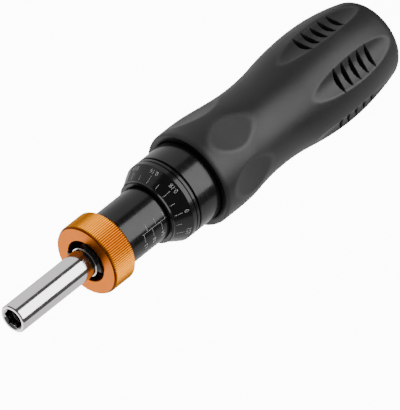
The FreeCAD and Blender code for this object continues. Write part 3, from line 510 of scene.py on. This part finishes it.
paint = Finish("white_fill", Specular_IOR_Level=0.3)
paint_wear = paint.grain(4000)
paint.set(Base_Color=paint.shade(paint_wear, (0.36, 0.36, 0.36), (0.60, 0.60, 0.60)))
paint.set(Roughness=paint.spread(paint_wear, 0.3, 0.7, 0.5, 0.7))
paint.set(Normal=paint.bump(paint_wear, 0.00001))


def repeat_tree():
    """Geometry Nodes that repeat a shape about the tool's axis, with a rise for each copy."""
    tree = bpy.data.node_groups.new("RepeatRound", "GeometryNodeTree")
    tree.is_modifier = True
    face = tree.interface
    face.new_socket("Geometry", in_out="OUTPUT", socket_type="NodeSocketGeometry")
    for name, kind in (("Geometry", "NodeSocketGeometry"), ("Count", "NodeSocketInt"),
                       ("Turn", "NodeSocketFloat"), ("Rise", "NodeSocketFloat"),
                       ("Weld", "NodeSocketFloat"), ("Finish", "NodeSocketMaterial")):
        face.new_socket(name, in_out="INPUT", socket_type=kind)
    new, link = tree.nodes.new, tree.links.new
    given, made = new("NodeGroupInput"), new("NodeGroupOutput")
    copies, count = new("GeometryNodeMeshLine"), new("GeometryNodeInputIndex")
    shift, spin = new("ShaderNodeCombineXYZ"), new("ShaderNodeCombineXYZ")
    rise, turn = new("ShaderNodeMath"), new("ShaderNodeMath")
    rise.operation = turn.operation = "MULTIPLY"
    move, scatter = new("GeometryNodeSetPosition"), new("GeometryNodeInstanceOnPoints")
    real, weld = new("GeometryNodeRealizeInstances"), new("GeometryNodeMergeByDistance")
    dress = new("GeometryNodeSetMaterial")
    copies.inputs["Offset"].default_value = (0, 0, 0)
    link(given.outputs["Count"], copies.inputs["Count"])
    for step, each, vector in ((rise, "Rise", shift), (turn, "Turn", spin)):
        link(count.outputs["Index"], step.inputs[0])
        link(given.outputs[each], step.inputs[1])
        link(step.outputs[0], vector.inputs["Z"])
    link(copies.outputs["Mesh"], move.inputs["Geometry"])
    link(shift.outputs[0], move.inputs["Offset"])
    link(move.outputs["Geometry"], scatter.inputs["Points"])
    link(given.outputs["Geometry"], scatter.inputs["Instance"])
    link(spin.outputs[0], scatter.inputs["Rotation"])
    link(scatter.outputs["Instances"], real.inputs["Geometry"])
    link(real.outputs["Geometry"], weld.inputs["Geometry"])
    link(given.outputs["Weld"], weld.inputs["Distance"])
    link(weld.outputs["Geometry"], dress.inputs["Geometry"])
    link(given.outputs["Finish"], dress.inputs["Material"])
    link(dress.outputs["Geometry"], made.inputs["Geometry"])
    return tree


repeat_round = repeat_tree()


def repeated(piece, count, finish, turn=0.0, rise=0.0, weld=0.0):
    """Repeat a piece with the Geometry Nodes tree and keep the result as its plain mesh."""
    modifier = piece.modifiers.new("repeat", "NODES")
    modifier.node_group = repeat_round
    wanted = {"Count": count, "Turn": turn, "Rise": rise, "Weld": weld, "Finish": finish}
    for item in repeat_round.interface.items_tree:
        if item.in_out == "INPUT" and item.name in wanted:
            modifier[item.identifier] = wanted[item.name]
    shape = evaluated(piece)
    piece.modifiers.remove(modifier)
    piece.data = shape
    return piece


def cone_point(angle, along, back, lift):
    """A point on the dial's cone: an arc along it, a distance back from its front, and a lift."""
    slope = math.atan2(rim_radius - cone_radius, cone_top - cone_foot)
    radius = cone_radius + back * math.sin(slope) + lift * math.cos(slope)
    turn = angle + along / radius
    height = cone_top - back * math.cos(slope) + lift * math.sin(slope)
    return radius * math.cos(turn), radius * math.sin(turn), height


inlay_lifts = (-0.03 * MM, 0.012 * MM)


def stroke(name, surface, angle, width, start, end, finish):
    """One engraved and filled line, as a thin inlay that stands just proud of its surface."""
    corners = [(-width / 2, start), (width / 2, start), (width / 2, end), (-width / 2, end)]
    vertices = [surface(angle, along, back, lift) for lift in inlay_lifts for along, back in corners]
    faces = [(3, 2, 1, 0), (4, 5, 6, 7)] + [(i, (i + 1) % 4, (i + 1) % 4 + 4, i + 4) for i in range(4)]
    return mesh_of(name, vertices, faces, finish)


def numeral(name, text, surface, angle, middle, height, finish):
    """A plain engraved number laid on a surface, its tops toward the tip."""
    letters = bpy.data.curves.new(name, "FONT")
    letters.body, letters.size, letters.align_x, letters.align_y = text, 1.0, "CENTER", "CENTER"
    letters.extrude, letters.offset = 0.02, -0.008
    flat = bpy.data.objects.new(name, letters)
    bpy.context.scene.collection.objects.link(flat)
    mesh = evaluated(flat)
    bpy.data.objects.remove(flat)
    scale = height / 0.69
    low = min(vertex.co.y for vertex in mesh.vertices)
    high = max(vertex.co.y for vertex in mesh.vertices)
    for vertex in mesh.vertices:
        along, up, deep = vertex.co
        lift = inlay_lifts[1] if deep > 0 else inlay_lifts[0]
        vertex.co = surface(angle, along * scale * 0.86, middle - (up - (low + high) / 2) * scale, lift)
    mesh.materials.clear()
    mesh.materials.append(finish)
    piece = bpy.data.objects.new(name, mesh)
    bpy.context.scene.collection.objects.link(piece)
    return piece


def merged(name, pieces):
    """Several marks as one piece."""
    bpy.ops.object.select_all(action="DESELECT")
    for piece in pieces:
        piece.select_set(True)
    bpy.context.view_layer.objects.active = pieces[0]
    bpy.ops.object.join()
    pieces[0].name = name
    return pieces[0]


zero_angle = math.radians(-45.2)
division = math.radians(18)
long_line = stroke("dial_long", cone_point, zero_angle, 0.15 * MM, 0.45 * MM, 3.4 * MM, paint.material)
repeated(long_line, 10, paint.material, turn=2 * division)
short_line = stroke("dial_short", cone_point, zero_angle + division, 0.13 * MM, 0.45 * MM, 2.3 * MM,
                    paint.material)
repeated(short_line, 10, paint.material, turn=2 * division)
numbers = [
    numeral(f"dial_number_{place}", "0" if place == 0 else f"{0.02 * place:.2f}", cone_point,
            zero_angle - 2 * division * place, 4.75 * MM, 1.55 * MM, paint.material)
    for place in range(10)
]
dial_marks = merged("dial_marks", [long_line, short_line, *numbers])
place_on(dial_marks, "handle", "black_anodised")

# Barrel tube, turned and black anodised. Its front shows the main scale, its rear carries the fine
# setting thread in the nut, and two crossed slits let its tail spread when the lock is on.
tail, barrel_front = (corner.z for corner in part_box("barrel_tube"))
barrel_radius = 9.83 * MM
thread_radius, thread_top = 9.6 * MM, tail + 30 * MM
stop_low, stop_high = (corner.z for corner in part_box("travel_stop"))
nose_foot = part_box("barrel_nose")[0].z
plug_radius = 8.62 * MM
bore = 7.9 * MM
wedge_bore = 7.6 * MM
barrel = lathe("barrel_tube_turned", [
    (wedge_bore, tail, 0),
    (thread_radius, tail, 0.2 * MM),
    (thread_radius, stop_low, 0),
    (9.0 * MM, stop_low, 0),
    (9.0 * MM, stop_high, 0),
    (thread_radius, stop_high, 0),
    (thread_radius, thread_top, 0),
    (barrel_radius, thread_top, 0.1 * MM),
    (barrel_radius, barrel_front, 0.12 * MM),
    (plug_radius, barrel_front, 0),
    (plug_radius, nose_foot, 0),
    (bore, nose_foot, 0),
    (bore, tail + 6 * MM, 0),
    (wedge_bore, tail + 2 * MM, 0),
], anodised.material)
slits = []
for turn in (45, 135):
    tool = bmesh.new()
    size = Matrix.Diagonal((22 * MM, 1.2 * MM, 26 * MM, 1))
    spot = Matrix.Rotation(math.radians(turn), 4, "Z") @ Matrix.Translation((0, 0, tail + 11 * MM))
    bmesh.ops.create_cube(tool, size=1, matrix=spot @ size)
    slits.append(tool)
carve(barrel, slits)
place_on(barrel, "barrel", "black_anodised", "barrel_tube")


def barrel_point(angle, along, back, lift):
    """A point on the barrel, a distance back from the end of the datum line."""
    radius = barrel_radius + lift
    turn = angle + along / radius
    return radius * math.cos(turn), radius * math.sin(turn), barrel_front - 8.3 * MM - back


def ring_stroke(name, first, last, back, width, finish):
    """A line that runs part of the way round the barrel, in short stretches."""
    count = 8
    vertices, faces = [], []
    for step in range(count + 1):
        angle = first + (last - first) * step / count
        vertices += [barrel_point(angle, 0, back + side * width / 2, lift)
                     for lift in inlay_lifts for side in (-1, 1)]
    for step in range(count):
        here, there = 4 * step, 4 * step + 4
        faces += [(here + a, here + b, there + b, there + a) for a, b in ((0, 1), (1, 3), (3, 2), (2, 0))]
    faces += [(0, 1, 3, 2), (4 * count, 4 * count + 2, 4 * count + 3, 4 * count + 1)]
    return mesh_of(name, vertices, faces, finish)


datum = math.radians(-42.1)
line_pitch = 4.0 * MM
datum_line = stroke("datum_line", barrel_point, datum, 0.09 * MM, 0, 13 * MM, paint.material)
near_side = ring_stroke("scale_near", datum, datum + math.radians(14), 2.5 * MM, 0.08 * MM, paint.material)
repeated(near_side, 3, paint.material, rise=-line_pitch)
far_side = ring_stroke("scale_far", datum, datum - math.radians(18), 0.5 * MM, 0.08 * MM, paint.material)
repeated(far_side, 3, paint.material, rise=-line_pitch)
scale_numbers = [
    numeral(f"scale_number_{place}", f"{1.2 - 0.4 * place:.1f}", barrel_point, datum - math.radians(27),
            0.5 * MM + line_pitch * place, 1.35 * MM, paint.material)
    for place in range(3)
]
scale_marks = merged("scale_marks", [datum_line, near_side, far_side, *scale_numbers])
place_on(scale_marks, "barrel", "black_anodised")

# Nose of the barrel, black anodised. Its thread carries the lock ring, and two claws reach forward
# round the bit tube with gaps between them for the lock tube's lugs.
nose_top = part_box("barrel_nose")[1].z
ring_foot, ring_top = (corner.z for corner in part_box("lock_ring"))
shoulder = ring_top - 3.7 * MM
bush_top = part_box("front_bush")[1].z
claw_radius = 7.35 * MM
shaft_gap = 5.4 * MM
bush_radius = 6.22 * MM
nose_thread = 9.3 * MM
nose = lathe("barrel_nose_turned", [
    (bush_radius, nose_foot, 0),
    (8.6 * MM, nose_foot, 0.1 * MM),
    (8.6 * MM, barrel_front, 0),
    (barrel_radius, barrel_front, 0.1 * MM),
    (barrel_radius, barrel_front + 0.8 * MM, 0.1 * MM),
    (nose_thread, barrel_front + 0.8 * MM, 0),
    (nose_thread, shoulder, 0.3 * MM),
    (claw_radius, shoulder, 0),
    (claw_radius, nose_top, 0.35 * MM),
    (shaft_gap, nose_top, 0.25 * MM),
    (shaft_gap, bush_top, 0),
    (bush_radius, bush_top, 0),
], anodised.material)


def sector_tool(inner, outer, low, high, middle, span, steps=24):
    """A sector of a thick ring, to cut a gap with."""
    tool = bmesh.new()
    rows = []
    for step in range(steps + 1):
        turn = middle + span * (step / steps - 0.5)
        rows.append([tool.verts.new((radius * math.cos(turn), radius * math.sin(turn), height))
                     for radius, height in ((inner, low), (outer, low), (outer, high), (inner, high))])
    for here, there in zip(rows, rows[1:]):
        for side in range(4):
            beside = (side + 1) % 4
            tool.faces.new((here[side], here[beside], there[beside], there[side]))
    tool.faces.new(rows[0][::-1])
    tool.faces.new(rows[-1])
    bmesh.ops.recalc_face_normals(tool, faces=tool.faces)
    return tool


gap_span = math.radians(87)
gap_tools = []
for turn in (68, -112):
    middle = math.radians(turn)
    gap_tools.append(sector_tool(5.0 * MM, 7.6 * MM, shoulder, nose_top + MM, middle, gap_span))
    gap_tools.append(sector_tool(7.15 * MM, 7.85 * MM, nose_foot - MM, shoulder + 0.2 * MM, middle, gap_span))
carve(nose, gap_tools)
place_on(nose, "barrel", "black_anodised", "barrel_nose")

# Lock ring, turned from aluminium and anodised orange, with a straight knurl. It runs on the nose's
# thread and presses the lock tube's lugs. One tooth is drawn and Geometry Nodes carry it round.
orange = Finish("orange_anodised", Metallic=1.0)
orange_lines = orange.grain(2600, (1, 1, 0.02))
orange_clouds = orange.grain(400)
orange_spot = orange.place()
orange_x, orange_y = (orange.node("ShaderNodeSeparateXYZ", {}, {"Vector": orange_spot}, side)
                      for side in ("X", "Y"))
orange_square = orange_x * orange_x + orange_y * orange_y
orange_reach = orange.node("ShaderNodeMath", {"operation": "SQRT"}, {0: orange_square})
ring_radius = 12.57 * MM
tooth_depth = 0.32 * MM
# The knurl's colour follows the radius: painted shade in its valleys and a painted yellow highlight on its
# crests.
crest_highlight_mask = orange.spread(orange_reach, ring_radius - tooth_depth, ring_radius - 0.06 * MM, 0, 1)
face_mark = orange.spread(orange_reach, 11.9 * MM, 12.05 * MM, 1, 0)
orange_body = orange.shade(orange_clouds, (0.66, 0.150, 0.0), (0.74, 0.175, 0.0))
valley_painted_shade = orange.shade(orange_clouds, (0.17, 0.035, 0.0), (0.22, 0.05, 0.0))
knurl_painted_light = orange.node("ShaderNodeMix", {"data_type": "RGBA"},
                          {"Factor": crest_highlight_mask, 6: valley_painted_shade, 7: (0.78, 0.26, 0.0, 1)}, 2)
orange.set(Base_Color=orange.node("ShaderNodeMix", {"data_type": "RGBA"},
                                  {"Factor": face_mark, 6: knurl_painted_light, 7: orange_body}, 2))
orange.set(Roughness=orange.spread(orange_lines, 0.3, 0.7, 0.30, 0.42))
orange.set(Normal=orange.bump(orange_lines, 0.0000015))
teeth = 104
ring_outline = rounded([
    (9.93 * MM, ring_foot, 0.15 * MM),
    (11.57 * MM, ring_foot, 0.15 * MM),
    (ring_radius, ring_foot + 1.0 * MM, 0.2 * MM),
    (ring_radius, ring_top - 1.0 * MM, 0.2 * MM),
    (12.06 * MM, ring_top, 0.2 * MM),
    (7.45 * MM, ring_top, 0.3 * MM),
    (7.45 * MM, ring_top - 3.3 * MM, 0),
    (9.35 * MM, ring_top - 3.3 * MM, 0),
    (9.35 * MM, ring_foot + 2.7 * MM, 0),
    (9.93 * MM, ring_foot + 2.7 * MM, 0),
])
tooth_shares = [0, 0.14, 0.32, 0.43, 0.5, 0.57, 0.68, 0.86, 1]
tooth_angle = 2 * math.pi / teeth
vertices, faces = [], []
for across, along in ring_outline:
    for share in tooth_shares:
        flank = 1 - abs(2 * share - 1)
        crest = ring_radius - tooth_depth * (1 - min(1, flank * 1.12)) ** 1.1
        radius = min(across, crest)
        turn = share * tooth_angle
        vertices.append((radius * math.cos(turn), radius * math.sin(turn), along))
wide = len(tooth_shares)
for row in range(len(ring_outline)):
    low, high = row * wide, (row + 1) % len(ring_outline) * wide
    faces += [(low + step, low + step + 1, high + step + 1, high + step) for step in range(wide - 1)]
tooth = mesh_of("lock_ring_knurled", vertices, faces, orange.material)
lock_ring = repeated(tooth, teeth, orange.material, turn=tooth_angle, weld=1e-6)
lock_ring.data.shade_smooth()
lock_ring.data.set_sharp_from_angle(angle=math.radians(38))
place_on(lock_ring, "lock_ring", "orange_anodised", "lock_ring")

# Bit holder, a hardened steel tube with bright chrome plating. Its mouth is a hexagon socket with a
# turned lead-in and a groove for the spring ring, and its hidden flange carries the clutch's detents.
chrome = Finish("bright_chrome", Metallic=1.0)
chrome_haze = chrome.grain(500)
chrome_lines = chrome.grain(3200, (0.015, 0.015, 1))
chrome.set(Base_Color=chrome.shade(chrome_haze, (0.86, 0.835, 0.82), (0.94, 0.925, 0.91)))
chrome.set(Roughness=chrome.spread(chrome_haze * 0.6 + chrome_lines * 0.4, 0.35, 0.65, 0.07, 0.13))
chrome.set(Normal=chrome.bump(chrome_lines, 0.0000012))
holder_foot, tip = (corner.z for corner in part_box("bit_holder"))
magnet_foot, magnet_top = (corner.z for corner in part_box("bit_magnet"))
flange_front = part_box("thrust_washer")[0].z
flange_rear = flange_front - 3 * MM
half_flats, socket_corner = 3.2 * MM, 3.62 * MM
journal_radius, flange_radius, shaft_radius, tube_radius = 3.0 * MM, 7.0 * MM, 5.3 * MM, 5.0 * MM
lead_in_radius = 3.95 * MM
clip_top = tip - 3.2 * MM
steps = 240
turns = 2 * np.pi * np.arange(steps) / steps
from_corner = (turns + math.radians(7.5 + 30)) % (math.pi / 3) - math.pi / 6
hexagon = np.minimum(half_flats / np.cos(math.pi / 6 - np.abs(from_corner)), socket_corner)
shaft = rounded([
    (0.01 * MM, holder_foot, 0),
    (journal_radius, holder_foot, 0.3 * MM),
    (journal_radius, holder_foot + 1.2 * MM, 0),
    (2.5 * MM, holder_foot + 1.2 * MM, 0),
    (2.5 * MM, holder_foot + 1.9 * MM, 0),
    (journal_radius, holder_foot + 1.9 * MM, 0),
    (journal_radius, flange_rear, 0),
    (flange_radius, flange_rear, 0.2 * MM),
    (flange_radius, flange_front, 0.2 * MM),
    (shaft_radius, flange_front, 0),
    (shaft_radius, nose_top, 0.1 * MM),
    (tube_radius, nose_top, 0),
    (tube_radius, tip - 0.4 * MM, 0.15 * MM),
    (4.6 * MM, tip, 0.1 * MM),
    (lead_in_radius, tip, 0),
], closed=False)
rings = [(np.full(steps, across), along) for across, along in shaft]
for step in range(1, 9):
    height = tip - 0.1 * MM * step
    rings.append((np.maximum(hexagon, lead_in_radius - 0.1 * MM * step), height))
clip_foot = clip_top - 0.7 * MM
groove, pocket, centre_spot = (np.full(steps, across * MM) for across in (4.1, 2.52, 0.01))
rings += [(hexagon, clip_top), (groove, clip_top), (groove, clip_foot), (hexagon, clip_foot),
          (hexagon, magnet_top), (pocket, magnet_top), (pocket, magnet_foot), (centre_spot, magnet_foot)]
vertices = [
    (radius * math.cos(turn), radius * math.sin(turn), height)
    for radii, height in rings for radius, turn in zip(radii, turns)
]
faces = [
    (row * steps + step, row * steps + (step + 1) % steps,
     (row + 1) * steps + (step + 1) % steps, (row + 1) * steps + step)
    for row in range(len(rings) - 1) for step in range(steps)
]
faces += [tuple(range(steps))[::-1], tuple(range(len(vertices) - steps, len(vertices)))]
holder = mesh_of("bit_holder_plated", vertices, faces, chrome.material)
detents = bmesh.new()
for place in range(12):
    turn = math.radians(30 * place)
    spot = Matrix.Translation((5.2 * MM * math.cos(turn), 5.2 * MM * math.sin(turn), flange_rear - 0.65 * MM))
    bmesh.ops.create_icosphere(detents, subdivisions=3, radius=1.25 * MM, matrix=spot)
carve(holder, [detents])
place_on(holder, "bit_holder", "chrome_steel", "bit_holder")

# Stage: a plain pale floor under the tool's end, soft boxes round it, and the camera. The floor and
# the sky glow white where the camera sees them, and hardly light the tool.
centre = Vector((0, 0, 91.3 * MM))


def heading(turn, rise=0.0):
    """A direction from the tool, by its angle about the axis and its angle above the floor."""
    turn, rise = math.radians(turn), math.radians(rise)
    return Vector((math.cos(turn) * math.cos(rise), math.sin(turn) * math.cos(rise), math.sin(rise)))


pale = Finish("pale_floor", Base_Color=(0.9, 0.9, 0.9, 1), Emission_Color=(1, 1, 1, 1), Emission_Strength=12)
pale.set(Roughness=pale.spread(pale.grain(30), 0.3, 0.7, 0.85, 0.95))
shape = bmesh.new()
bmesh.ops.create_circle(shape, cap_ends=True, segments=96, radius=30)
floor_mesh = bpy.data.meshes.new("floor")
shape.to_mesh(floor_mesh)
shape.free()
floor_mesh.materials.append(pale.material)
floor = bpy.data.objects.new("floor", floor_mesh)
bpy.context.scene.collection.objects.link(floor)
floor.visible_glossy = floor.visible_diffuse = floor.visible_shadow = False


def soft_box(name, turn, rise, wide, tall, glow, distance=1.0):
    """A soft rectangular light that faces the tool, with the same glow whatever its size."""
    light = bpy.data.lights.new(name, "AREA")
    light.shape, light.size, light.size_y = "RECTANGLE", wide, tall
    light.energy = glow * math.pi * wide * tall
    lamp = bpy.data.objects.new(name, light)
    lamp.location = centre + heading(turn, rise) * distance
    lamp.rotation_mode = "QUATERNION"
    lamp.rotation_quaternion = heading(turn, rise).to_track_quat("Z", "Y")
    lamp.visible_camera = False
    bpy.context.scene.collection.objects.link(lamp)


soft_box("key", -25.5, -30, 1.1, 1.15, 4.6)
soft_box("wall", 82.5, -10, 2.0, 1.6, 0.85)
soft_box("front", 167.5, 33, 0.9, 0.7, 1.2)
soft_box("bench", -158.5, 0, 3.0, 3.0, 0.8, distance=0.6)
world = bpy.data.worlds.new("studio")
bpy.context.scene.world = world
world.use_nodes = True
sky = world.node_tree.nodes["Background"]
sky.inputs["Color"].default_value = (1, 1, 1, 1)
seen = world.node_tree.nodes.new("ShaderNodeLightPath")
sky_glow = world.node_tree.nodes.new("ShaderNodeMapRange")
sky_glow.inputs["To Min"].default_value, sky_glow.inputs["To Max"].default_value = 0.08, 12.5
world.node_tree.links.new(seen.outputs["Is Camera Ray"], sky_glow.inputs["Value"])
world.node_tree.links.new(sky_glow.outputs["Result"], sky.inputs["Strength"])

camera_data = bpy.data.cameras.new("camera")
camera = bpy.data.objects.new("camera", camera_data)
bpy.context.scene.collection.objects.link(camera)
bpy.context.scene.camera = camera
view_turn, view_level, view_drop = -12.5, 0.842, 0.54
framed_width, side_shift = 130.2 * MM, 8.29 * MM
toward = heading(view_turn) * view_level + Vector((0, 0, view_drop))
along = heading(view_turn) * view_drop - Vector((0, 0, view_level))
across = heading(view_turn - 90)
roll = math.radians(38.5)
right = along * math.cos(roll) + across * math.sin(roll)
up = along * math.sin(roll) - across * math.cos(roll)
basis = Matrix((right.normalized(), up.normalized(), toward.normalized())).transposed().to_4x4()
camera_distance = 5
spot = centre + across * side_shift + toward.normalized() * camera_distance
camera.matrix_world = Matrix.Translation(spot) @ basis
camera_data.sensor_width = 36
camera_data.lens = camera_distance * camera_data.sensor_width / framed_width
camera_data.clip_start, camera_data.clip_end = 0.1, 100
